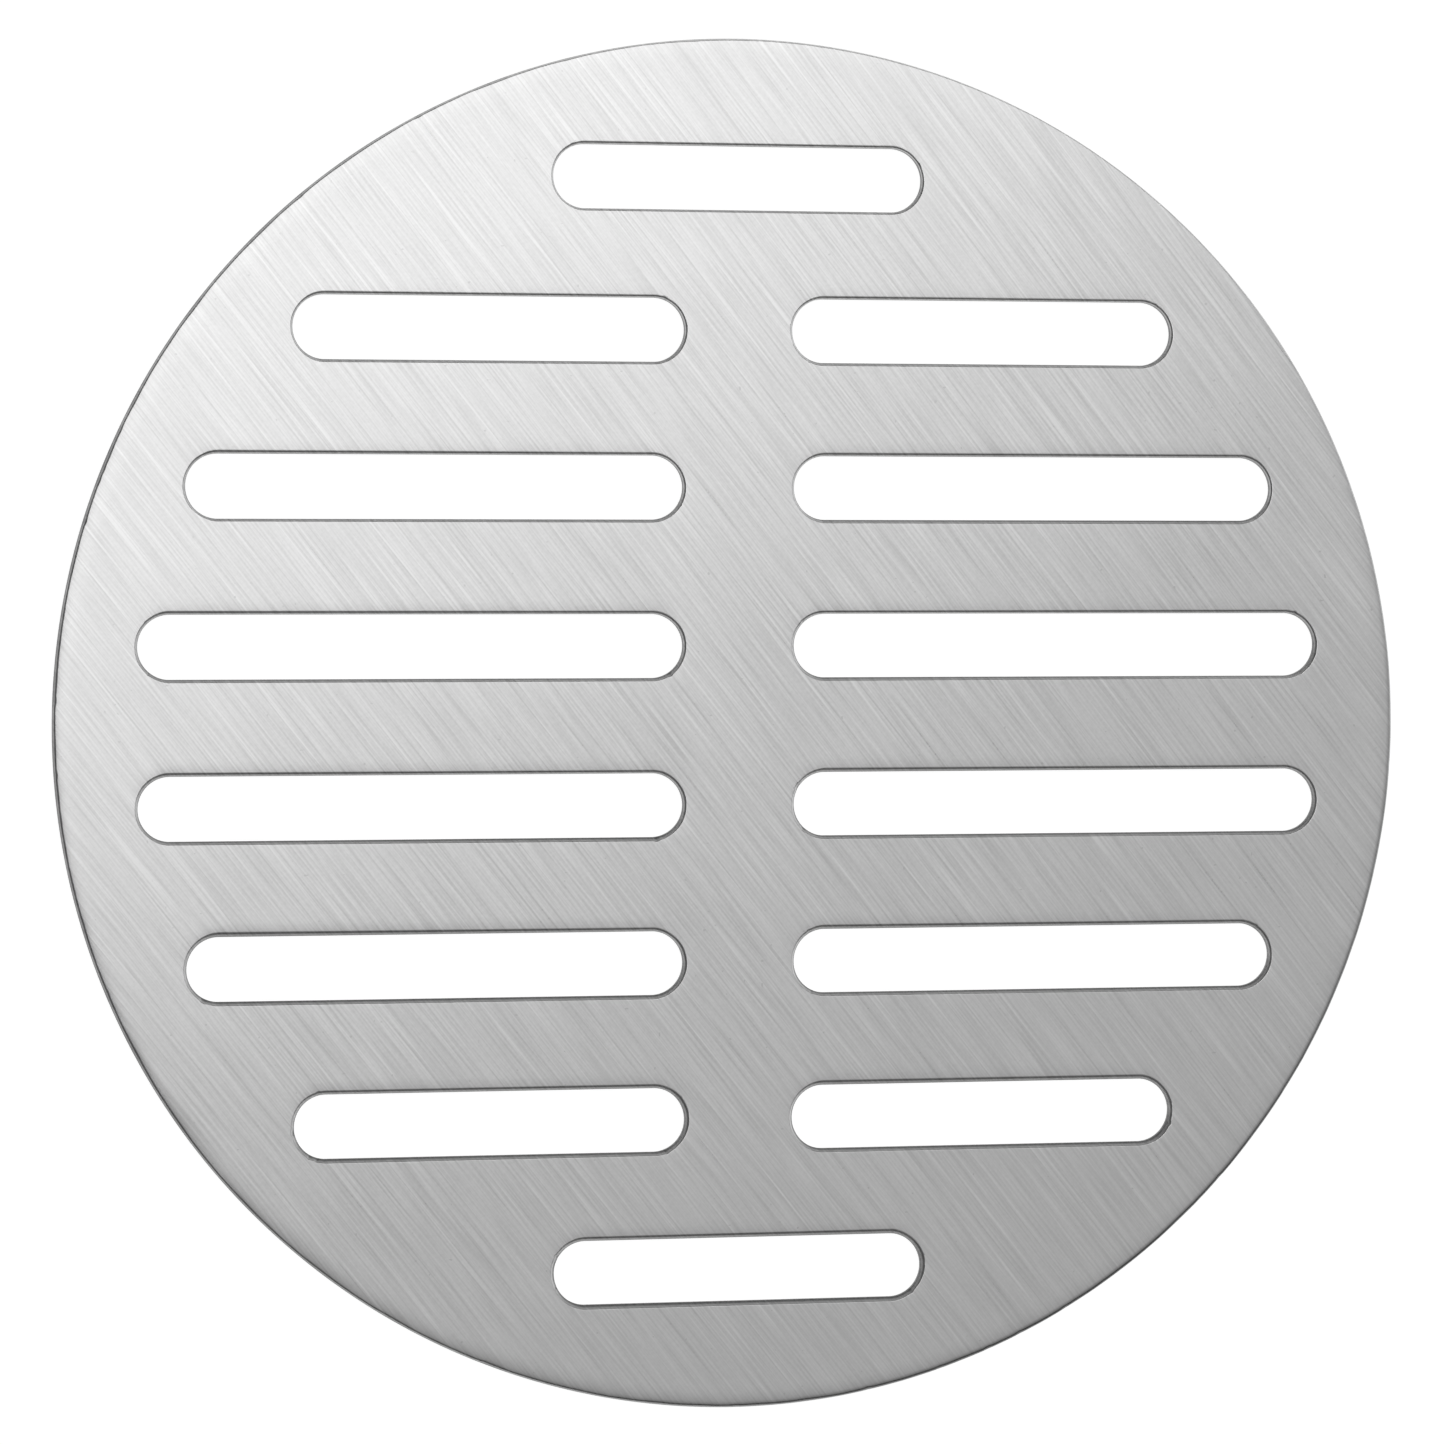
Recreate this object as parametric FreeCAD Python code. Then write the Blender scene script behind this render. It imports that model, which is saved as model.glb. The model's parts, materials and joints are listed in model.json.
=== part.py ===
import FreeCAD, Part
import math
import os

# Floor drain grate: one round plate, cut from flat stainless sheet, that drops
# into the recess at the mouth of a floor drain and lies there by its weight.
#
# Frame, in millimetres: the origin is the centre of the underside, +Z points
# up to the brushed face that is walked on, and +X runs along the slots.

# Plate
plate_diameter = 150.0
plate_thickness = 1.0

# Slots: straight sides with full round ends, all of one width
slot_width = 7.0

# Rows that are split by the solid bar down the middle of the plate. Each is
# the height of the row's centre line over the middle of the plate, the end of
# its slots beside the middle bar, and their end beside the rim. Each row has
# its mirror image below the middle, and each slot its mirror image across.
split_rows = (
    (8.7, 6.2, 65.9),
    (26.0, 6.2, 60.7),
    (43.2, 6.0, 49.1),
)

# The first and last rows have one slot each, centred on the middle bar
single_row_height = 59.8
single_slot_length = 41.2

# Edges: rolled over on the walked face, only deburred underneath
rim_top_radius = 0.4
slot_top_radius = 0.4
underside_radius = 0.1


def plate_blank():
    """The round sheet before the slots are cut."""
    blank = Part.makeCylinder(plate_diameter / 2, plate_thickness)
    return blank


def slot_cutter(centre_x, centre_y, length):
    """A bar with round ends that stands through the plate, lying along X."""
    radius = slot_width / 2
    straight = length / 2 - radius
    height = 3 * plate_thickness
    low = FreeCAD.Vector(centre_x, centre_y, -plate_thickness)
    box = Part.makeBox(
        2 * straight,
        slot_width,
        height,
        low - FreeCAD.Vector(straight, radius, 0),
    )
    left = Part.makeCylinder(radius, height, low - FreeCAD.Vector(straight, 0, 0))
    right = Part.makeCylinder(radius, height, low + FreeCAD.Vector(straight, 0, 0))
    return box.fuse([left, right]).removeSplitter()


def slot_places():
    """Centre x, centre y and length of every slot."""
    places = []
    for side in (-1, 1):
        places.append((0.0, side * single_row_height, single_slot_length))
        for row_height, inner_end, outer_end in split_rows:
            middle = (inner_end + outer_end) / 2
            length = outer_end - inner_end
            places.append((-middle, side * row_height, length))
            places.append((middle, side * row_height, length))
    return places


def edges_at(shape, height, on_rim):
    """The edges in the plane at this height, either the rim's or the slots'."""
    chosen = []
    for edge in shape.Edges:
        box = edge.BoundBox
        flat = abs(box.ZMin - height) < 1e-6 and abs(box.ZMax - height) < 1e-6
        is_rim = False
        if isinstance(edge.Curve, Part.Circle):
            is_rim = abs(edge.Curve.Radius - plate_diameter / 2) < 1e-6
        if flat and is_rim == on_rim:
            chosen.append(edge)
    return chosen


def round_edges(shape, height, on_rim, radius):
    return shape.makeFillet(radius, edges_at(shape, height, on_rim))


def grate_plate():
    plate = plate_blank()
    cutters = [slot_cutter(x, y, length) for x, y, length in slot_places()]
    plate = plate.cut(cutters).removeSplitter()
    plate = round_edges(plate, plate_thickness, False, slot_top_radius)
    plate = round_edges(plate, plate_thickness, True, rim_top_radius)
    plate = round_edges(plate, 0.0, False, underside_radius)
    plate = round_edges(plate, 0.0, True, underside_radius)
    return plate


def expected_area():
    """Plan area of the plate: the disc less its slots."""
    disc = math.pi * (plate_diameter / 2) ** 2
    end_radius = slot_width / 2
    slots = 0.0
    for _, _, length in slot_places():
        straight = length - slot_width
        slots += straight * slot_width + math.pi * end_radius**2
    return disc - slots


def main():
    os.makedirs("parts", exist_ok=True)
    plate = grate_plate()
    if plate.ShapeType != "Solid":
        plate = plate.Solids[0]
    plate.exportStep("parts/grate_plate.step")
    full_volume = expected_area() * plate_thickness
    print("valid:", plate.isValid(), "solids:", len(plate.Solids))
    print("volume mm3:", round(plate.Volume, 1), "before rounding:", round(full_volume, 1))


main()
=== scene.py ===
import json
import math

import bmesh
import bpy
from mathutils import Matrix, Vector


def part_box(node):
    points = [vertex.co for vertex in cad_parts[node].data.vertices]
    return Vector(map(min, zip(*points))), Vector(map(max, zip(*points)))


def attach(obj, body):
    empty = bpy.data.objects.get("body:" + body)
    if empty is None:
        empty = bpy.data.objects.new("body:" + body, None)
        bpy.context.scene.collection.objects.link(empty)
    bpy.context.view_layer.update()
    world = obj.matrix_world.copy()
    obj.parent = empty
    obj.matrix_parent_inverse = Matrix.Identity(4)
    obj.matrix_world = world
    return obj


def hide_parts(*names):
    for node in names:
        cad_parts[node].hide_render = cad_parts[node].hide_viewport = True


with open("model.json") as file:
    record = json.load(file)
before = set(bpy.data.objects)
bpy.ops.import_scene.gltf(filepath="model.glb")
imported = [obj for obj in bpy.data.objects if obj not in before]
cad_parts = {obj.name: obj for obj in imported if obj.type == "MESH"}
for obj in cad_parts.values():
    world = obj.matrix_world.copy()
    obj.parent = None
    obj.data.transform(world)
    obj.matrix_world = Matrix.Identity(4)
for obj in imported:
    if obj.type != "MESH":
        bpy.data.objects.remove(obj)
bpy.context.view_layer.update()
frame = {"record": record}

bl_info = {
    "name": "Slotted Drain Grate",
    "version": (1, 0, 0),
    "blender": (4, 5, 0),
    "location": "3D View > Sidebar > Drain Grate",
    "description": "Makes a round slotted floor drain grate in brushed stainless sheet, and its studio",
    "category": "Object",
}

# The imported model: one plate, which lies on z = 0 with its walked face up
PLATE_NODE = "grate_plate"
PLATE_LOW, PLATE_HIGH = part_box(PLATE_NODE)
OPENINGS = frame["record"]["physics"]["openings"]
RIM_RADIUS = next(m for m in frame["record"]["mounts"] if m["name"] == "rim")["dims"]["r_mm"] / 1000

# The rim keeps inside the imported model's box, whose round is made of short straight sides
PLATE_RADIUS = min(PLATE_HIGH.x, PLATE_HIGH.y, -PLATE_LOW.x, -PLATE_LOW.y)

MILLIMETRE = 0.001

# Each opening's box stops short of its slot's walls by these
OPENING_SIDE_GAP = 0.2 * MILLIMETRE
OPENING_END_REACH = 1.1 * MILLIMETRE


# ---------------------------------------------------------------------------
# Node graphs
# ---------------------------------------------------------------------------


class Value:
    """A socket that takes part in plain arithmetic: each operation adds its Math node."""

    def __init__(self, graph, socket):
        self.graph = graph
        self.socket = socket

    def is_vector(self):
        return self.socket.type in ("VECTOR", "RGBA")

    def combine(self, operation, left, right):
        vector = any(isinstance(side, Value) and side.is_vector() for side in (left, right))
        if not vector:
            return self.graph.math(operation, left, right)
        if operation == "MULTIPLY":
            return self.graph.scaled(left, right)
        return self.graph.vector_math(operation, left, right)

    def __add__(self, other):
        return self.combine("ADD", self, other)

    def __radd__(self, other):
        return self.combine("ADD", other, self)

    def __sub__(self, other):
        return self.combine("SUBTRACT", self, other)

    def __rsub__(self, other):
        return self.combine("SUBTRACT", other, self)

    def __mul__(self, other):
        return self.combine("MULTIPLY", self, other)

    def __rmul__(self, other):
        return self.combine("MULTIPLY", other, self)

    def __truediv__(self, other):
        return self.combine("DIVIDE", self, other)

    def __pow__(self, other):
        return self.combine("POWER", self, other)

    def __gt__(self, other):
        return self.combine("GREATER_THAN", self, other)


class Graph:
    """A node tree, and the one way in which nodes are added to it."""

    def __init__(self, tree):
        self.tree = tree

    def node(self, kind, settings=None, sockets=None):
        """Adds a node: its settings first, then the values or links of its sockets."""
        made = self.tree.nodes.new(kind)
        for name, setting in (settings or {}).items():
            setattr(made, name, setting)
        for key, given in (sockets or {}).items():
            if isinstance(given, Value):
                self.tree.links.new(given.socket, made.inputs[key])
            else:
                made.inputs[key].default_value = given
        return made

    def value(self, kind, settings=None, sockets=None, output=0):
        return Value(self, self.node(kind, settings, sockets).outputs[output])

    def math(self, operation, *terms, clamp=False):
        settings = {"operation": operation, "use_clamp": clamp}
        return self.value("ShaderNodeMath", settings, dict(enumerate(terms)))

    def clamped(self, value):
        return self.math("ADD", value, 0.0, clamp=True)

    def vector_math(self, operation, *terms, output=0):
        terms = [(term,) * 3 if isinstance(term, (int, float)) else term for term in terms]
        return self.value("ShaderNodeVectorMath", {"operation": operation}, dict(enumerate(terms)), output)

    def scaled(self, left, right):
        """A vector times a number, or two vectors number by number."""
        sides = [left, right]
        vectors = [isinstance(side, Value) and side.is_vector() for side in sides]
        if all(vectors):
            return self.vector_math("MULTIPLY", left, right)
        vector, number = sides if vectors[0] else reversed(sides)
        return self.value("ShaderNodeVectorMath", {"operation": "SCALE"}, {"Vector": vector, "Scale": number})

    def vector(self, x, y, z):
        return self.value("ShaderNodeCombineXYZ", None, {"X": x, "Y": y, "Z": z})

    def parts(self, vector):
        """The x, y and z of a vector."""
        split = self.node("ShaderNodeSeparateXYZ", None, {"Vector": vector})
        return [Value(self, output) for output in split.outputs]

    def smooth(self, value, low, high):
        """0 up to low, 1 from high on, and an even S between them."""
        settings = {"interpolation_type": "SMOOTHSTEP"}
        sockets = {"Value": value, "From Min": low, "From Max": high}
        return self.value("ShaderNodeMapRange", settings, sockets)

    def blend(self, factor, low, high):
        """Mixes two numbers."""
        settings = {"data_type": "FLOAT", "clamp_factor": True}
        return self.value("ShaderNodeMix", settings, {0: factor, 2: low, 3: high}, 0)

    def colour(self, factor, low, high):
        """Mixes two colours."""
        settings = {"data_type": "RGBA", "clamp_factor": True}
        return self.value("ShaderNodeMix", settings, {0: factor, 6: low, 7: high}, 2)

    def noise(self, vector, detail=2.0, roughness=0.5, dimensions="3D"):
        sockets = {"Vector": vector, "Scale": 1.0, "Detail": detail, "Roughness": roughness}
        return self.value("ShaderNodeTexNoise", {"noise_dimensions": dimensions}, sockets)


class Shape(Graph):
    """A geometry node group with named inputs."""

    def __init__(self, name):
        super().__init__(bpy.data.node_groups.new(name, "GeometryNodeTree"))
        self.tree.interface.new_socket("Geometry", in_out="INPUT", socket_type="NodeSocketGeometry")
        self.tree.interface.new_socket("Geometry", in_out="OUTPUT", socket_type="NodeSocketGeometry")
        self.entry = self.node("NodeGroupInput")
        self.identifiers = {}

    def input(self, name, kind="NodeSocketFloat"):
        """Adds an input to the group; build gives it its value."""
        item = self.tree.interface.new_socket(name, in_out="INPUT", socket_type=kind)
        self.identifiers[name] = item.identifier
        return Value(self, self.entry.outputs[name])

    def geometry(self):
        return Value(self, self.entry.outputs["Geometry"])

    def stored(self, geometry, name, value, kind="FLOAT", domain="POINT"):
        settings = {"data_type": kind, "domain": domain}
        sockets = {"Geometry": geometry, "Name": name, "Value": value}
        return self.value("GeometryNodeStoreNamedAttribute", settings, sockets)

    def named(self, name, kind="FLOAT"):
        return self.value("GeometryNodeInputNamedAttribute", {"data_type": kind}, {"Name": name})

    def joined(self, *geometries):
        made = self.node("GeometryNodeJoinGeometry")
        for geometry in reversed(geometries):
            self.tree.links.new(geometry.socket, made.inputs[0])
        return Value(self, made.outputs[0])

    def finish(self, geometry):
        self.node("NodeGroupOutput", None, {"Geometry": geometry})

    def build(self, mesh, given, name):
        """Runs the group on a mesh and returns the result as a plain mesh."""
        carrier = bpy.data.objects.new(name + "_carrier", mesh)
        bpy.context.scene.collection.objects.link(carrier)
        modifier = carrier.modifiers.new(name, "NODES")
        modifier.node_group = self.tree
        for label, setting in given.items():
            modifier[self.identifiers[label]] = setting
        depsgraph = bpy.context.evaluated_depsgraph_get()
        result = bpy.data.meshes.new_from_object(carrier.evaluated_get(depsgraph))
        result.name = name
        bpy.data.objects.remove(carrier)
        return result


# ---------------------------------------------------------------------------
# The plate
# ---------------------------------------------------------------------------


class GrateSizes(bpy.types.PropertyGroup):
    """Sizes of the plate's edges, which the flat drawing of the plate leaves open."""

    corner_radius: bpy.props.FloatProperty(
        name="Slot corner",
        description="Radius of the slots' top corner",
        default=0.45 * MILLIMETRE,
        unit="LENGTH",
    )
    roll_width: bpy.props.FloatProperty(
        name="Slot roll width",
        description="How far from a slot the face starts to sink towards it",
        default=1.9 * MILLIMETRE,
        unit="LENGTH",
    )
    roll_depth: bpy.props.FloatProperty(
        name="Slot roll depth",
        description="How far the face has sunk where it meets a slot",
        default=0.06 * MILLIMETRE,
        unit="LENGTH",
    )
    rim_corner_radius: bpy.props.FloatProperty(
        name="Rim corner",
        description="Radius of the rim's top corner",
        default=0.35 * MILLIMETRE,
        unit="LENGTH",
    )
    rim_roll_width: bpy.props.FloatProperty(
        name="Rim roll width",
        description="How far from the rim the face starts to sink towards it",
        default=2.2 * MILLIMETRE,
        unit="LENGTH",
    )
    rim_roll_depth: bpy.props.FloatProperty(
        name="Rim roll depth",
        description="How far the face has sunk where it meets the rim",
        default=0.165 * MILLIMETRE,
        unit="LENGTH",
    )
    underside_radius: bpy.props.FloatProperty(
        name="Underside corner",
        description="Radius of the deburred corners underneath",
        default=0.1 * MILLIMETRE,
        unit="LENGTH",
    )
    wear_angle: bpy.props.FloatProperty(
        name="Wear direction",
        description="The way the most worn edges face, from the slots' direction",
        default=math.radians(-120.0),
        subtype="ANGLE",
    )
    slot_least_wear: bpy.props.FloatProperty(
        name="Least slot corner",
        description="Share of the corner radius that the slots' least worn edges have",
        default=0.80,
        subtype="FACTOR",
        min=0.1,
        max=1.0,
    )
    rim_least_wear: bpy.props.FloatProperty(
        name="Least rim corner",
        description="Share of the corner radius that the rim's least worn side has",
        default=0.30,
        subtype="FACTOR",
        min=0.1,
        max=1.0,
    )
    wear_slope: bpy.props.FloatProperty(
        name="Wear slope",
        description="How much more the near slots are worn than the far ones",
        default=0.38,
        subtype="FACTOR",
        min=0.0,
        max=0.9,
    )
    corner_unevenness: bpy.props.FloatProperty(
        name="Corner unevenness",
        description="How much the corner radius comes and goes along an edge",
        default=0.3,
        subtype="FACTOR",
        min=0.0,
        max=0.9,
    )
    slot_steps: bpy.props.IntProperty(
        name="Slot steps",
        description="Points round each slot",
        default=122,
        min=10,
    )
    rim_steps: bpy.props.IntProperty(
        name="Rim steps",
        description="Points round the rim",
        default=720,
        min=12,
    )


# Rings of points from the flat face, over the corner, to the underside
ROLL_RINGS = 6
CORNER_RINGS = 8
UNDER_RINGS = 3
LAST_RING = ROLL_RINGS + CORNER_RINGS + UNDER_RINGS + 2

# The flat face starts this far behind the roll, which sinks by this power of the way to the edge
FLAT_MARGIN = 0.15 * MILLIMETRE
ROLL_POWER = 3.0

# Distances over which an edge's wear comes and goes, and over which small nicks follow each other
UNEVENNESS_PITCH = 4.0 * MILLIMETRE
NICK_PITCH = 0.9 * MILLIMETRE

# Nicks are cut where their pattern passes from the first of these to the second
NICK_STARTS = (0.70, 0.78)

# Shares of the roll and of the corner that are left at the round ends of a slot
END_ROLL_SHARE = 0.45
END_CORNER_SHARE = 0.82

# No corner takes more than this share of the wall's height
MOST_CORNER = 0.65

# The roll differs this many times more than the corner between the near and the far slots
ROLL_SLOPE = 2.5

# The rim is worn more evenly all round than the slots are
RIM_WEAR_POWER = 0.45

# What the points of an edge carry from its outline to the finished plate
EDGE_FACTS = {
    "outward": "FLOAT_VECTOR",
    "core": "FLOAT_VECTOR",
    "wall_radius": "FLOAT",
    "metal_side": "FLOAT",
    "corner": "FLOAT",
    "least_wear": "FLOAT",
    "wear_power": "FLOAT",
    "wear_slope": "FLOAT",
    "roll_width": "FLOAT",
    "roll_depth": "FLOAT",
}

# Merges the points where two parts of the surface meet
MERGE_DISTANCE = 0.001 * MILLIMETRE


def slot_lines():
    """One edge for each slot, between the centres of its two round ends, and the slots' width."""
    lines = []
    for opening in OPENINGS:
        low, high = (Vector(corner) for corner in opening["box_m"])
        middle = (low + high) / 2
        reach = (high.x - low.x) / 2 - OPENING_END_REACH
        lines.append((middle.x - reach, middle.x + reach, middle.y))
        width = high.y - low.y + 2 * OPENING_SIDE_GAP
    mesh = bpy.data.meshes.new("slot_lines")
    points = [(x, y, 0.0) for left, right, y in lines for x in (left, right)]
    edges = [(2 * i, 2 * i + 1) for i in range(len(lines))]
    mesh.from_pydata(points, edges, [])
    return mesh, width


def loop_of_points(shape, steps):
    """A ring of unit radius, half a step round, so that no point stands right at the top."""
    ring = shape.value("GeometryNodeMeshCircle", {"fill_type": "NONE"}, {"Vertices": steps, "Radius": 1.0})
    index = shape.value("GeometryNodeInputIndex")
    angle = (index + 0.5) * math.tau / steps
    outward = shape.vector(shape.math("COSINE", angle), shape.math("SINE", angle), 0.0)
    return shape.stored(ring, "outward", outward, "FLOAT_VECTOR")


def edge_facts(shape, geometry, facts):
    """Stores the numbers that shape the edge which starts at these points."""
    for name, value in facts.items():
        geometry = shape.stored(geometry, name, value, EDGE_FACTS[name])
    return geometry


def slot_loops(shape, slot_width, facts):
    """A loop of points for each slot, from a mesh that has one edge for each slot."""
    ends = shape.node("GeometryNodeInputMeshEdgeVertices")
    start = Value(shape, ends.outputs["Position 1"])
    end = Value(shape, ends.outputs["Position 2"])
    half_run = shape.vector_math("DISTANCE", start, end, output="Value") * 0.5
    lines = shape.stored(shape.geometry(), "half_run", half_run, domain="EDGE")
    centres = shape.value("GeometryNodeMeshToPoints", {"mode": "EDGES"}, {"Mesh": lines})
    position = shape.value("GeometryNodeInputPosition")
    centres = shape.stored(centres, "anchor", position, "FLOAT_VECTOR")
    ring = loop_of_points(shape, shape.input("Slot Steps", "NodeSocketInt"))
    slots = shape.value("GeometryNodeInstanceOnPoints", None, {"Points": centres, "Instance": ring})
    slots = shape.value("GeometryNodeRealizeInstances", None, {"Geometry": slots})
    across = shape.parts(shape.named("outward", "FLOAT_VECTOR"))[0]
    shift = shape.math("SIGN", across) * shape.named("half_run")
    at_end = shape.math("ABSOLUTE", across)
    roll_share = 1 - (1 - END_ROLL_SHARE) * at_end
    corner_share = 1 - (1 - END_CORNER_SHARE) * at_end
    slot_facts = {
        **facts,
        "core": shape.named("anchor", "FLOAT_VECTOR") + shape.vector(shift, 0.0, 0.0),
        "wall_radius": slot_width * 0.5,
        "metal_side": 1.0,
        "wear_power": 1.0,
        "corner": facts["corner"] * corner_share,
        "roll_depth": facts["roll_depth"] * roll_share,
    }
    return edge_facts(shape, slots, slot_facts)


def rim_loop(shape, rim_radius, facts):
    """The loop of points of the rim."""
    rim = loop_of_points(shape, shape.input("Rim Steps", "NodeSocketInt"))
    rim_facts = {
        **facts,
        "core": (0.0, 0.0, 0.0),
        "wall_radius": rim_radius,
        "metal_side": -1.0,
        "wear_power": RIM_WEAR_POWER,
        "wear_slope": 0.0,
    }
    return edge_facts(shape, rim, rim_facts)


def wall_place(shape):
    """The upright wall's place under a point of an edge."""
    outward = shape.named("outward", "FLOAT_VECTOR")
    return shape.named("core", "FLOAT_VECTOR") + outward * shape.named("wall_radius")


def edge_wear(shape, wall, most_corner, unevenness, wear_angle):
    """How worn an edge is at a point, with the radius of its corner and the depth of its roll."""
    outward = shape.named("outward", "FLOAT_VECTOR")
    pattern = shape.noise(wall * (1 / UNEVENNESS_PITCH), detail=1.0)
    worn_way = shape.vector(shape.math("COSINE", wear_angle), shape.math("SINE", wear_angle), 0.0)
    facing = shape.vector_math("DOT_PRODUCT", outward, worn_way, output="Value") * shape.named("metal_side")
    wear = shape.clamped(0.5 - 0.5 * facing) ** shape.named("wear_power")
    extra = shape.named("wear_slope") * -1 * shape.parts(wall)[1] / RIM_RADIUS

    corner = shape.named("corner") * shape.blend(wear, shape.named("least_wear"), 1.0) * (1 + extra)
    nick = shape.smooth(shape.noise(wall * (1 / NICK_PITCH), detail=0.0), *NICK_STARTS)
    corner = corner * (1 + unevenness * (2 * (pattern - 0.5) + nick))
    corner = shape.math("MINIMUM", corner, most_corner)

    roll_wear = wear * shape.math("MAXIMUM", 1 + ROLL_SLOPE * extra, 0.1)
    roll_depth = shape.named("roll_depth") * roll_wear * (0.7 + 0.6 * pattern)
    return wear, corner, roll_depth


def ring_place(shape, thickness, under_radius, unevenness, wear_angle):
    """Where a point lies, from the edge that it belongs to and its ring on the way from face to underside."""
    ring = shape.named("ring")
    roll_width = shape.named("roll_width")
    wall = wall_place(shape)
    most_corner = MOST_CORNER * (thickness - under_radius)
    wear, corner, roll_depth = edge_wear(shape, wall, most_corner, unevenness, wear_angle)

    along_roll = 1 - (1 - shape.clamped((ring - 1) / ROLL_RINGS)) ** 2.0
    along_corner = shape.clamped((ring - 1 - ROLL_RINGS) / CORNER_RINGS)
    along_under = shape.clamped((ring - 2 - ROLL_RINGS - CORNER_RINGS) / UNDER_RINGS)
    is_under = ring > 1.5 + ROLL_RINGS + CORNER_RINGS
    is_flat = 1 - (ring > 0.5)

    # The corner is a plain bevel where it is least worn, and a full round where it is most worn
    bevelled = 1 - wear * wear
    turned = along_corner * (math.pi / 2)
    bite = shape.blend(bevelled, shape.math("SINE", turned), along_corner)
    fall = shape.blend(bevelled, 1 - shape.math("COSINE", turned), along_corner)
    top_inset = shape.blend(along_roll, roll_width, corner) - corner * bite
    sunk = shape.clamped(1 - top_inset / roll_width) ** ROLL_POWER * roll_depth
    top_drop = corner * fall + sunk

    turned_under = along_under * (math.pi / 2)
    under_inset = under_radius * (1 - shape.math("COSINE", turned_under))
    under_drop = thickness - under_radius * (1 - shape.math("SINE", turned_under))

    inset = shape.blend(is_under, top_inset, under_inset) + is_flat * FLAT_MARGIN
    drop = shape.blend(is_under, top_drop, under_drop)
    outward = shape.named("outward", "FLOAT_VECTOR")
    place = wall + outward * (shape.named("metal_side") * inset)
    return place + shape.vector(0.0, 0.0, thickness - drop)


def filled(shape, loops, ring, is_top):
    """The flat face inside the rim and outside the slots, with its points at one ring."""
    outline = shape.value("GeometryNodeMeshToCurve", None, {"Mesh": loops})
    face = shape.value("GeometryNodeFillCurve", {"mode": "TRIANGLES"}, {"Curve": outline})
    nearest = shape.value("GeometryNodeSampleNearest", {"domain": "POINT"}, {"Geometry": loops})
    for name, kind in EDGE_FACTS.items():
        settings = {"data_type": kind, "domain": "POINT"}
        sockets = {"Geometry": loops, "Value": shape.named(name, kind), "Index": nearest}
        sampled = shape.value("GeometryNodeSampleIndex", settings, sockets)
        face = shape.stored(face, name, sampled, kind)
    if not is_top:
        face = shape.value("GeometryNodeFlipFaces", None, {"Mesh": face})
    return shape.stored(face, "ring", ring)


def swept(shape, loops):
    """The band of rings that leads from the flat face over each edge to the underside."""
    sockets = {"Count": LAST_RING + 1, "Offset": (0.0, MILLIMETRE, 0.0)}
    steps = shape.value("GeometryNodeMeshLine", None, sockets)
    steps = shape.stored(steps, "ring", shape.value("GeometryNodeInputIndex"))
    section = shape.value("GeometryNodeMeshToCurve", None, {"Mesh": steps})
    outline = shape.value("GeometryNodeMeshToCurve", None, {"Mesh": loops})
    return shape.value("GeometryNodeCurveToMesh", None, {"Curve": outline, "Profile Curve": section})


def plate_shape():
    """The node group that turns the slots' centre lines into the slotted plate."""
    shape = Shape("Slotted Plate")
    thickness = shape.input("Thickness")
    under_radius = shape.input("Underside Corner")
    unevenness = shape.input("Unevenness")
    wear_angle = shape.input("Wear Direction")
    slot_facts = {
        "corner": shape.input("Slot Corner"),
        "least_wear": shape.input("Least Slot Corner"),
        "wear_slope": shape.input("Wear Slope"),
        "roll_width": shape.input("Slot Roll Width"),
        "roll_depth": shape.input("Slot Roll Depth"),
    }
    rim_facts = {
        "corner": shape.input("Rim Corner"),
        "least_wear": shape.input("Least Rim Corner"),
        "roll_width": shape.input("Rim Roll Width"),
        "roll_depth": shape.input("Rim Roll Depth"),
    }
    slots = slot_loops(shape, shape.input("Slot Width"), slot_facts)
    rim = rim_loop(shape, shape.input("Rim Radius"), rim_facts)
    loops = shape.joined(slots, rim)
    loops = shape.value("GeometryNodeSetPosition", None, {"Geometry": loops, "Position": wall_place(shape)})

    top = filled(shape, loops, 0.0, True)
    bottom = filled(shape, loops, float(LAST_RING), False)
    plate = shape.joined(swept(shape, loops), top, bottom)
    place = ring_place(shape, thickness, under_radius, unevenness, wear_angle)
    plate = shape.value("GeometryNodeSetPosition", None, {"Geometry": plate, "Position": place})
    sockets = {"Geometry": plate, "Distance": MERGE_DISTANCE}
    plate = shape.value("GeometryNodeMergeByDistance", None, sockets)
    plate = shape.value("GeometryNodeSetShadeSmooth", None, {"Geometry": plate})
    plate = shape.value("GeometryNodeRealizeInstances", None, {"Geometry": plate})
    steel = shape.input("Material", "NodeSocketMaterial")
    plate = shape.value("GeometryNodeSetMaterial", None, {"Geometry": plate, "Material": steel})
    shape.finish(plate)
    return shape


def closed_and_outward(mesh):
    """Turns every face outwards, and stops if the surface has an open edge."""
    work = bmesh.new()
    work.from_mesh(mesh)
    bmesh.ops.recalc_face_normals(work, faces=work.faces)
    open_edges = sum(1 for edge in work.edges if not edge.is_manifold)
    volume = work.calc_volume(signed=True)
    work.to_mesh(mesh)
    work.free()
    if open_edges or volume <= 0:
        raise RuntimeError(f"{mesh.name} has {open_edges} open edges and a volume of {volume}")


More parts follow.
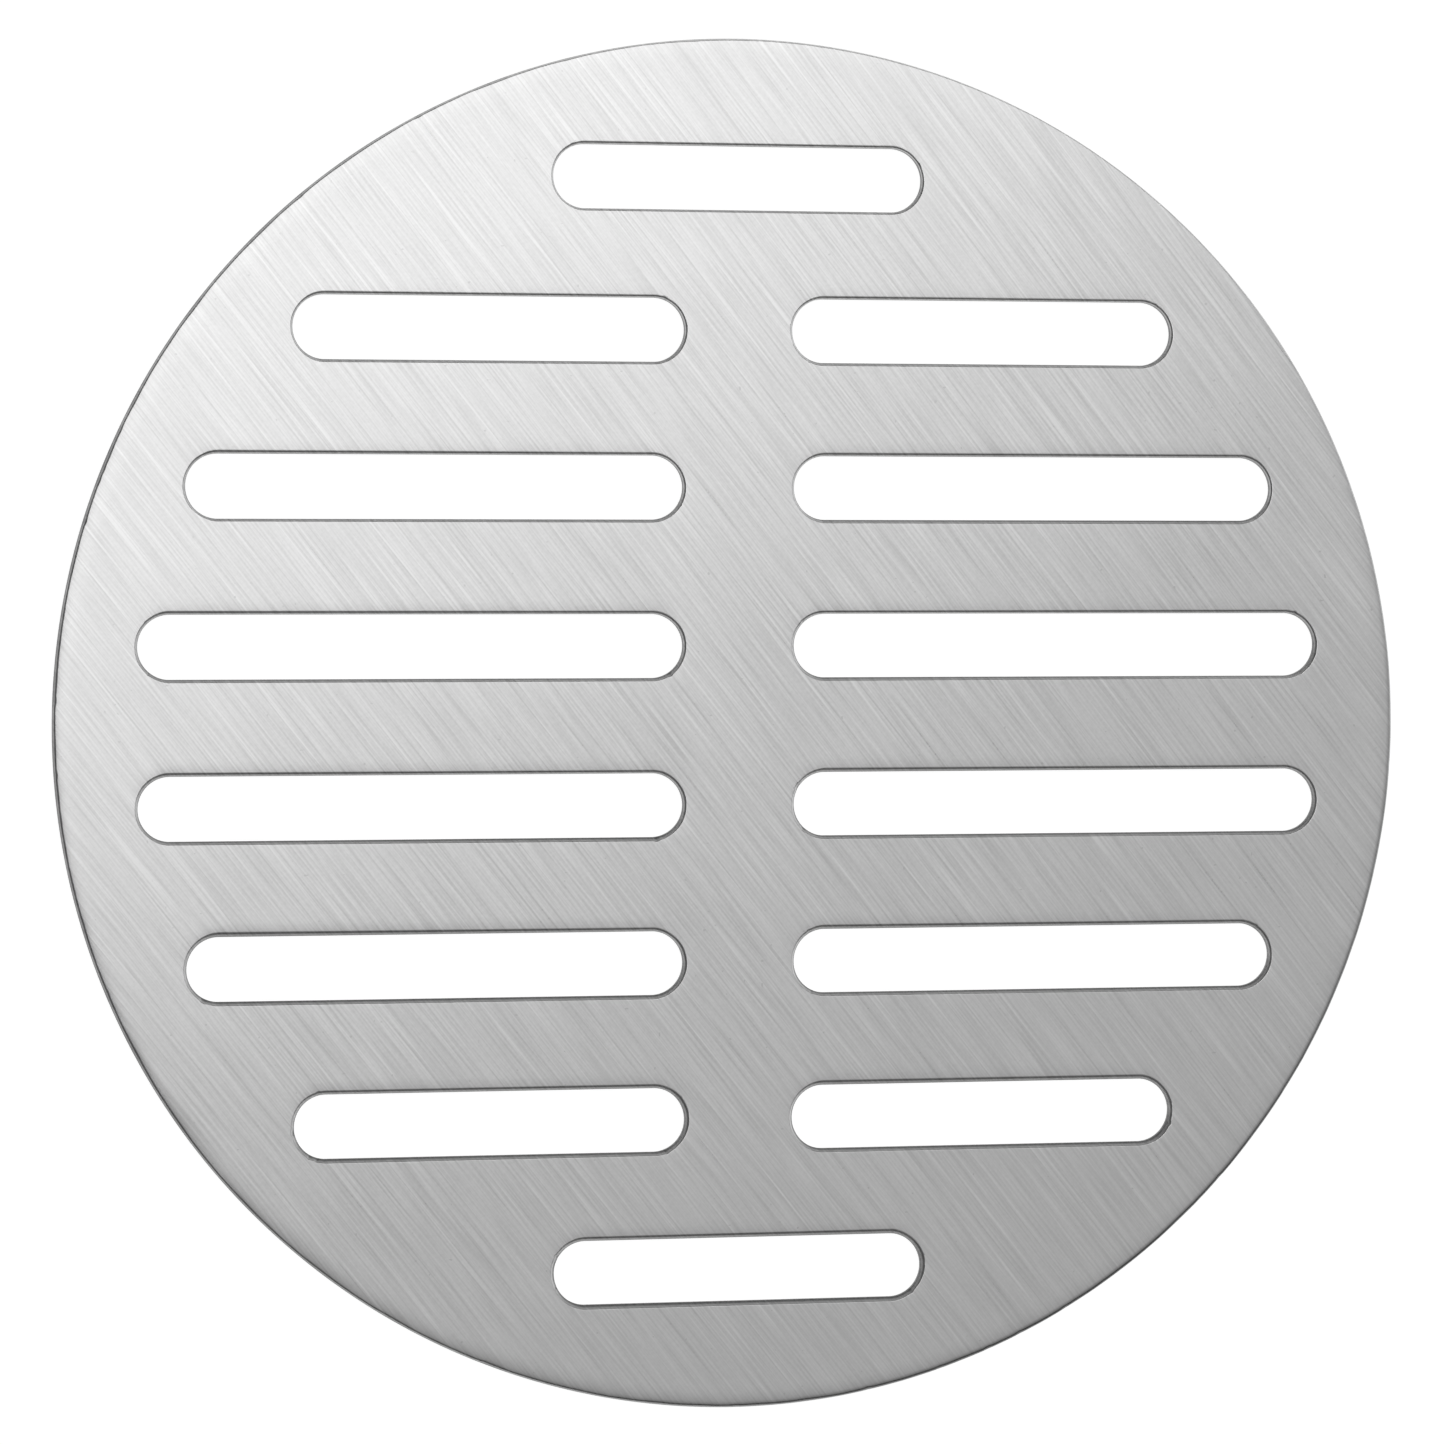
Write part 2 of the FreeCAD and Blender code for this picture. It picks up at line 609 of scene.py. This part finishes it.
class GRATE_OT_plate(bpy.types.Operator):
    """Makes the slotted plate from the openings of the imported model, with rolled and deburred edges"""

    bl_idname = "grate.plate"
    bl_label = "Make Slotted Plate"

    def execute(self, context):
        sizes = context.scene.grate_sizes
        steel = brushed_stainless(context.scene.grate_finish)
        lines, slot_width = slot_lines()
        shape = plate_shape()
        given = {
            "Rim Radius": PLATE_RADIUS,
            "Thickness": PLATE_HIGH.z - PLATE_LOW.z,
            "Slot Width": slot_width,
            "Slot Corner": sizes.corner_radius,
            "Slot Roll Width": sizes.roll_width,
            "Slot Roll Depth": sizes.roll_depth,
            "Rim Corner": sizes.rim_corner_radius,
            "Rim Roll Width": sizes.rim_roll_width,
            "Rim Roll Depth": sizes.rim_roll_depth,
            "Underside Corner": sizes.underside_radius,
            "Least Slot Corner": sizes.slot_least_wear,
            "Least Rim Corner": sizes.rim_least_wear,
            "Wear Direction": sizes.wear_angle,
            "Wear Slope": sizes.wear_slope,
            "Unevenness": sizes.corner_unevenness,
            "Slot Steps": sizes.slot_steps,
            "Rim Steps": sizes.rim_steps,
            "Material": steel,
        }
        mesh = shape.build(lines, given, "slotted_plate")
        closed_and_outward(mesh)
        plate = bpy.data.objects.new("slotted_plate", mesh)
        context.scene.collection.objects.link(plate)
        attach(plate, "root")
        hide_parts(PLATE_NODE)
        return {"FINISHED"}


# ---------------------------------------------------------------------------
# The steel
# ---------------------------------------------------------------------------


class GrateFinish(bpy.types.PropertyGroup):
    """Colours and grain of the brushed stainless sheet."""

    dark_steel: bpy.props.FloatVectorProperty(
        name="Dark steel",
        description="Colour in the grain's troughs",
        default=(0.52, 0.52, 0.52),
        subtype="COLOR",
        min=0.0,
        max=1.0,
    )
    light_steel: bpy.props.FloatVectorProperty(
        name="Light steel",
        description="Colour on the grain's crests",
        default=(0.72, 0.72, 0.72),
        subtype="COLOR",
        min=0.0,
        max=1.0,
    )
    # The walls' colour is partly the duller cut finish and partly painted shade: darker than the steel
    # itself, standing in for a dark floor mirrored in them
    cut_steel_and_shade: bpy.props.FloatVectorProperty(
        name="Cut steel",
        description="Colour of the sheared walls",
        default=(0.13, 0.13, 0.13),
        subtype="COLOR",
        min=0.0,
        max=1.0,
    )
    grain_contrast: bpy.props.FloatProperty(
        name="Grain contrast",
        description="How strongly the grain's troughs and crests differ",
        default=2.0,
        min=0.0,
    )
    brush_angle: bpy.props.FloatProperty(
        name="Brush angle",
        description="Direction of the grain, from the slots' direction",
        default=math.radians(-52.2),
        subtype="ANGLE",
    )
    face_roughness: bpy.props.FloatProperty(
        name="Face roughness",
        description="Roughness of the brushed face",
        default=0.31,
        subtype="FACTOR",
        min=0.0,
        max=1.0,
    )
    wall_roughness: bpy.props.FloatProperty(
        name="Wall roughness",
        description="Roughness of the sheared walls",
        default=0.42,
        subtype="FACTOR",
        min=0.0,
        max=1.0,
    )


def new_material(name):
    material = bpy.data.materials.new(name)
    material.use_nodes = True
    material.node_tree.nodes.clear()
    return material, Graph(material.node_tree)


# Turns of the scratches that stray from the brushing's direction
SLIGHT_TURN = math.radians(0.8)
WIDE_TURN = math.radians(3.0)

# Pitches of the marks on the brushed face that have no direction, and a shift that keeps the two apart
SPECK_PITCH = 0.28 * MILLIMETRE
PIT_PITCH = 0.5 * MILLIMETRE
PIT_SHIFT = 5.3

# The sheared wall's streaks stand upright: they are narrow along the edge and long across it
SHEAR_WIDTH = 0.25 * MILLIMETRE
SHEAR_HEIGHT = 3.0 * MILLIMETRE

# The wall's finish starts and is full this deep under the walked face
WALL_START = 0.10 * MILLIMETRE
WALL_FULL = 0.40 * MILLIMETRE

# The underside's finish is full and ends this high over the underside
UNDER_FULL = 0.02 * MILLIMETRE
UNDER_END = 0.10 * MILLIMETRE

# The grain is fainter on the underside by this share, and towards the front right by this one
UNDER_FAINTER = 0.5
FRONT_FAINTER = 0.35

# The rim takes a thin line of painted shade, most of all on the side that faces this way
RIM_SHADE_ANGLE = math.radians(-48.0)
RIM_SHADE_WIDTH = 0.75 * MILLIMETRE

# The bump of the grain
GRAIN_HEIGHT = 0.001 * MILLIMETRE


def grain(graph, place, angle, width, length, seed, detail=0.0):
    """Straight scratches of one width and length along one direction, from about 0 to 1."""
    settings = {"vector_type": "POINT"}
    turned = graph.value("ShaderNodeMapping", settings, {"Vector": place, "Rotation": (0.0, 0.0, -angle)})
    along, across, _ = graph.parts(turned)
    stretched = graph.vector(along / (length * MILLIMETRE) + seed, across / (width * MILLIMETRE) + seed, 0.0)
    return graph.noise(stretched, detail=detail, dimensions="2D")


def brushed_relief(graph, place, angle):
    """The brushing's height, from about 0 to 1, built up from scratches of several widths and lengths."""
    thread = grain(graph, place, angle + SLIGHT_TURN, width=0.19, length=8, seed=3.1)
    hair = grain(graph, place, angle - SLIGHT_TURN, width=0.32, length=18, seed=7.7)
    line = grain(graph, place, angle, width=0.62, length=24, seed=11.3)
    cross = grain(graph, place, angle - WIDE_TURN, width=0.4, length=12, seed=14.9)
    band = grain(graph, place, angle, width=2.0, length=40, seed=17.9, detail=1.0)
    cut = graph.smooth(grain(graph, place, angle + SLIGHT_TURN, width=0.24, length=26, seed=31.7), 0.60, 0.74)
    speck = graph.noise(place * (1 / SPECK_PITCH), detail=0.0)
    return 0.36 * thread + 0.32 * hair + 0.04 * line + 0.08 * cross + 0.02 * band + 0.18 * speck - 0.13 * cut


def face_colour(graph, place, relief, is_under, finish):
    """The brushed face: light crests and dark troughs, with a few score lines and pits."""
    over_x, over_y, _ = graph.parts(place)
    to_front = graph.smooth((0.57 * over_x - 0.82 * over_y) / RIM_RADIUS, -0.5, 0.9)
    contrast = finish.grain_contrast * (1 - FRONT_FAINTER * to_front) * (1 - UNDER_FAINTER * is_under)
    angle = finish.brush_angle + SLIGHT_TURN
    score = graph.smooth(grain(graph, place, angle, width=0.4, length=30, seed=23.5), 0.70, 0.80)
    pit = graph.smooth(graph.noise(place * (1 / PIT_PITCH) + PIT_SHIFT, detail=0.0), 0.83, 0.88)
    crest = graph.clamped((relief - 0.48 + 0.16 * score) * contrast + 0.5)
    crest = graph.clamped(crest - 0.6 * pit)
    return graph.colour(crest, (*finish.dark_steel, 1.0), (*finish.light_steel, 1.0))


def painted_rim_shade(graph, place):
    """1 in the line of painted shade along the rim, most on the side it faces, and 0 away from it."""
    over_x, over_y, _ = graph.parts(place)
    radius = graph.vector_math("LENGTH", graph.vector(over_x, over_y, 0.0), output="Value")
    line = graph.smooth(radius, RIM_RADIUS - RIM_SHADE_WIDTH, RIM_RADIUS - 0.2 * RIM_SHADE_WIDTH)
    sideways = (math.cos(RIM_SHADE_ANGLE) * over_x + math.sin(RIM_SHADE_ANGLE) * over_y) / RIM_RADIUS
    return line * graph.clamped(sideways) ** 2.0


def brushed_stainless(finish):
    """Stainless sheet: straight hairline grain on both faces, and sheared walls between them."""
    material, graph = new_material("brushed_stainless")
    place = graph.value("ShaderNodeTexCoord", output="Object")
    height = graph.parts(place)[2]
    is_under = 1 - graph.smooth(height, PLATE_LOW.z + UNDER_FULL, PLATE_LOW.z + UNDER_END)
    is_face = graph.smooth(height, PLATE_HIGH.z - WALL_FULL, PLATE_HIGH.z - WALL_START)
    is_wall = 1 - graph.math("MAXIMUM", is_face, is_under)

    relief = brushed_relief(graph, place, finish.brush_angle)
    shear = graph.noise(place * graph.vector(1 / SHEAR_WIDTH, 1 / SHEAR_WIDTH, 1 / SHEAR_HEIGHT))
    face = face_colour(graph, place, relief, is_under, finish)
    # The walls take the cut steel's colour, which is partly painted shade, and the rim takes its line of
    # painted shade
    sheared = is_wall * (0.9 + 0.4 * (shear - 0.5))
    cut_steel_and_painted_shade = graph.math("MAXIMUM", sheared, painted_rim_shade(graph, place))
    base = graph.colour(cut_steel_and_painted_shade, face, (*finish.cut_steel_and_shade, 1.0))
    face_roughness = finish.face_roughness + 0.10 * (relief - 0.5)
    roughness = graph.blend(is_wall, face_roughness, finish.wall_roughness)

    sockets = {"Height": graph.blend(is_wall, relief, shear), "Distance": GRAIN_HEIGHT, "Strength": 1.0}
    bump = graph.value("ShaderNodeBump", None, sockets)
    sockets = {"Base Color": base, "Metallic": 1.0, "Roughness": roughness, "Normal": bump}
    steel = graph.value("ShaderNodeBsdfPrincipled", None, sockets)
    graph.node("ShaderNodeOutputMaterial", None, {"Surface": steel})
    return material


# ---------------------------------------------------------------------------
# The stage
# ---------------------------------------------------------------------------


class GrateStage(bpy.types.PropertyGroup):
    """The floor, the room, the softbox and the camera."""

    floor_colour: bpy.props.FloatVectorProperty(
        name="Floor colour",
        description="Colour of the floor",
        default=(0.9, 0.9, 0.9),
        subtype="COLOR",
        min=0.0,
        max=1.0,
    )
    softbox_strength: bpy.props.FloatProperty(
        name="Softbox",
        description="How much brighter the softbox is than the room",
        default=1.24,
        min=0.0,
    )
    ceiling_strength: bpy.props.FloatProperty(
        name="Ceiling",
        description="Brightness of the pale ceiling overhead",
        default=0.57,
        min=0.0,
    )
    room_strength: bpy.props.FloatProperty(
        name="Room",
        description="Brightness of the dim room between the walls and the ceiling",
        default=0.08,
        min=0.0,
    )
    wall_strength: bpy.props.FloatProperty(
        name="Walls",
        description="Brightness of the room's pale walls, low down all round",
        default=0.42,
        min=0.0,
    )
    lens: bpy.props.FloatProperty(
        name="Lens",
        description="Focal length of the camera",
        default=139.35,
        unit="CAMERA",
    )


FLOOR_HALF = 1.5
FLOOR_GAP = 0.02 * MILLIMETRE
WHITE = (1.0, 1.0, 1.0, 1.0)
BLACK = (0.0, 0.0, 0.0, 1.0)

# Places of the camera and of the point it looks at, in plate radii from the middle of the walked face
CAMERA_PLACE = Vector((-1.725, 0.2223, 7.982))
CAMERA_AIM = Vector((-0.0248, 0.0042, 0.0))

# The softbox's far edge crosses over the plate in the mirror; it lies in this direction from that edge
SOFTBOX_DEPTH = 0.5
SOFTBOX_WIDTH = 0.75
SOFTBOX_HEIGHT = 0.9
SOFTBOX_DIRECTION = Vector((-0.57, 0.822, 0.0))
SOFTBOX_SHIFT = 0.065


# Where the ceiling starts and is full on each side, as sideways run per unit of height
CEILING_LEFT = (-0.4, 0.05)
CEILING_RIGHT = (2.0, 5.0)
CEILING_FRONT = (-0.8, -0.2)
CEILING_BACK = (0.55, 0.9)
LEAST_RISE = 0.02


# How far up the walls are full, and where they end, as the height of a direction of unit length
WALL_TOP = (0.22, 0.38)

# What the camera sees of the floor: this much of its own white, the rest by the lamps
FLOOR_LEVEL = 0.94
FLOOR_GLOW = 0.75


def floor_material(settings):
    """A white floor that still takes a faint shadow, and is clear from underneath."""
    material, graph = new_material("pale_floor")
    paths = graph.node("ShaderNodeLightPath")
    straight = Value(graph, paths.outputs["Is Camera Ray"])
    mirrored = Value(graph, paths.outputs["Is Glossy Ray"])
    passed = Value(graph, paths.outputs["Is Transmission Ray"])
    seen = graph.clamped(straight + mirrored + passed)
    colour = graph.colour(seen * FLOOR_GLOW, (*settings.floor_colour, 1.0), BLACK)
    matt = graph.value("ShaderNodeBsdfDiffuse", None, {"Color": colour})
    shine = graph.colour(seen, BLACK, (FLOOR_LEVEL, FLOOR_LEVEL, FLOOR_LEVEL, 1.0))
    white = graph.value("ShaderNodeEmission", None, {"Color": shine, "Strength": 1.0})
    lit = graph.value("ShaderNodeAddShader", None, {0: matt, 1: white})
    clear = graph.value("ShaderNodeBsdfTransparent")
    behind = graph.value("ShaderNodeNewGeometry", output="Backfacing")
    surface = graph.value("ShaderNodeMixShader", None, {0: behind, 1: lit, 2: clear})
    graph.node("ShaderNodeOutputMaterial", None, {"Surface": surface})
    return material


def make_floor(scene, settings):
    """A square of floor, a hair below the plate."""
    level = PLATE_LOW.z - FLOOR_GAP
    turns = [(-1, -1), (1, -1), (1, 1), (-1, 1)]
    mesh = bpy.data.meshes.new("floor")
    mesh.from_pydata([(x * FLOOR_HALF, y * FLOOR_HALF, level) for x, y in turns], [], [(0, 1, 2, 3)])
    mesh.materials.append(floor_material(settings))
    floor = bpy.data.objects.new("floor", mesh)
    scene.collection.objects.link(floor)


def make_room(scene, settings):
    """A white backdrop for the camera, and for all else a room with pale walls and a pale ceiling."""
    world = bpy.data.worlds.new("studio_room")
    scene.world = world
    world.use_nodes = True
    world.node_tree.nodes.clear()
    graph = Graph(world.node_tree)
    direction = graph.value("ShaderNodeTexCoord", output="Generated")
    right, back, up = graph.parts(direction)
    height = graph.math("MAXIMUM", up, LEAST_RISE)
    over_x = right / height
    over_y = back / height
    across = graph.smooth(over_x, *CEILING_LEFT) * (1 - graph.smooth(over_x, *CEILING_RIGHT))
    along = graph.smooth(over_y, *CEILING_FRONT) * (1 - graph.smooth(over_y, *CEILING_BACK))
    strength = graph.blend(across * along, settings.room_strength, settings.ceiling_strength)
    strength = graph.blend(graph.smooth(up, *WALL_TOP), settings.wall_strength, strength)
    room = graph.value("ShaderNodeBackground", None, {"Color": WHITE, "Strength": strength})
    white = graph.value("ShaderNodeBackground", None, {"Color": WHITE, "Strength": 1.0})
    paths = graph.node("ShaderNodeLightPath")
    straight = Value(graph, paths.outputs["Is Camera Ray"])
    passed = Value(graph, paths.outputs["Is Transmission Ray"])
    seen = graph.clamped(straight + passed)
    surface = graph.value("ShaderNodeMixShader", None, {0: seen, 1: room, 2: white})
    graph.node("ShaderNodeOutputWorld", None, {"Surface": surface})


def make_softbox(scene, settings):
    """A lamp overhead that faces down, placed by where the camera sees it mirrored in the plate."""
    top = Vector((0.0, 0.0, PLATE_HIGH.z))
    camera = top + CAMERA_PLACE * RIM_RADIUS
    centre = top - (camera - top) * (SOFTBOX_HEIGHT / camera.z)
    centre = centre + SOFTBOX_DIRECTION * (SOFTBOX_DEPTH / 2 + SOFTBOX_SHIFT)
    centre.z = SOFTBOX_HEIGHT
    lamp = bpy.data.lights.new("softbox", "AREA")
    lamp.shape = "RECTANGLE"
    lamp.size = SOFTBOX_DEPTH
    lamp.size_y = SOFTBOX_WIDTH
    lamp.energy = settings.softbox_strength * math.pi * SOFTBOX_DEPTH * SOFTBOX_WIDTH
    holder = bpy.data.objects.new("softbox", lamp)
    holder.location = centre
    holder.rotation_euler = (0.0, 0.0, math.atan2(SOFTBOX_DIRECTION.y, SOFTBOX_DIRECTION.x))
    holder.visible_camera = False
    scene.collection.objects.link(holder)


def make_camera(scene, settings):
    """A camera that looks down on the plate from the left, with the rows level."""
    top = Vector((0.0, 0.0, PLATE_HIGH.z))
    camera = bpy.data.cameras.new("camera")
    camera.lens = settings.lens
    holder = bpy.data.objects.new("camera", camera)
    holder.location = top + CAMERA_PLACE * RIM_RADIUS
    aim = top + CAMERA_AIM * RIM_RADIUS
    back = (holder.location - aim).normalized()
    right = Vector((0.0, 1.0, 0.0)).cross(back).normalized()
    holder.rotation_mode = "QUATERNION"
    holder.rotation_quaternion = Matrix((right, back.cross(right), back)).transposed().to_quaternion()
    scene.collection.objects.link(holder)
    scene.camera = holder


class GRATE_OT_stage(bpy.types.Operator):
    """Makes the floor, the room, the softbox and the camera"""

    bl_idname = "grate.stage"
    bl_label = "Make Stage"

    def execute(self, context):
        scene = context.scene
        settings = scene.grate_stage
        make_floor(scene, settings)
        make_room(scene, settings)
        make_softbox(scene, settings)
        make_camera(scene, settings)
        scene.view_settings.view_transform = "Standard"
        return {"FINISHED"}


class GRATE_PT_panel(bpy.types.Panel):
    """Lists the sizes, the finish and the operators"""

    bl_idname = "GRATE_PT_panel"
    bl_label = "Drain Grate"
    bl_space_type = "VIEW_3D"
    bl_region_type = "UI"
    bl_category = "Drain Grate"

    def draw(self, context):
        for group in (context.scene.grate_sizes, context.scene.grate_finish, context.scene.grate_stage):
            column = self.layout.column(align=True)
            for name in group.__annotations__:
                column.prop(group, name)
        for operator in OPERATORS:
            self.layout.operator(operator.bl_idname)


OPERATORS = (GRATE_OT_plate, GRATE_OT_stage)
CLASSES = (GrateSizes, GrateFinish, GrateStage, *OPERATORS, GRATE_PT_panel)


def register():
    for cls in CLASSES:
        bpy.utils.register_class(cls)
    bpy.types.Scene.grate_sizes = bpy.props.PointerProperty(type=GrateSizes)
    bpy.types.Scene.grate_finish = bpy.props.PointerProperty(type=GrateFinish)
    bpy.types.Scene.grate_stage = bpy.props.PointerProperty(type=GrateStage)


def unregister():
    del bpy.types.Scene.grate_stage
    del bpy.types.Scene.grate_finish
    del bpy.types.Scene.grate_sizes
    for cls in reversed(CLASSES):
        bpy.utils.unregister_class(cls)


def main():
    register()
    bpy.ops.grate.plate()
    bpy.ops.grate.stage()


if __name__ == "__main__":
    main()
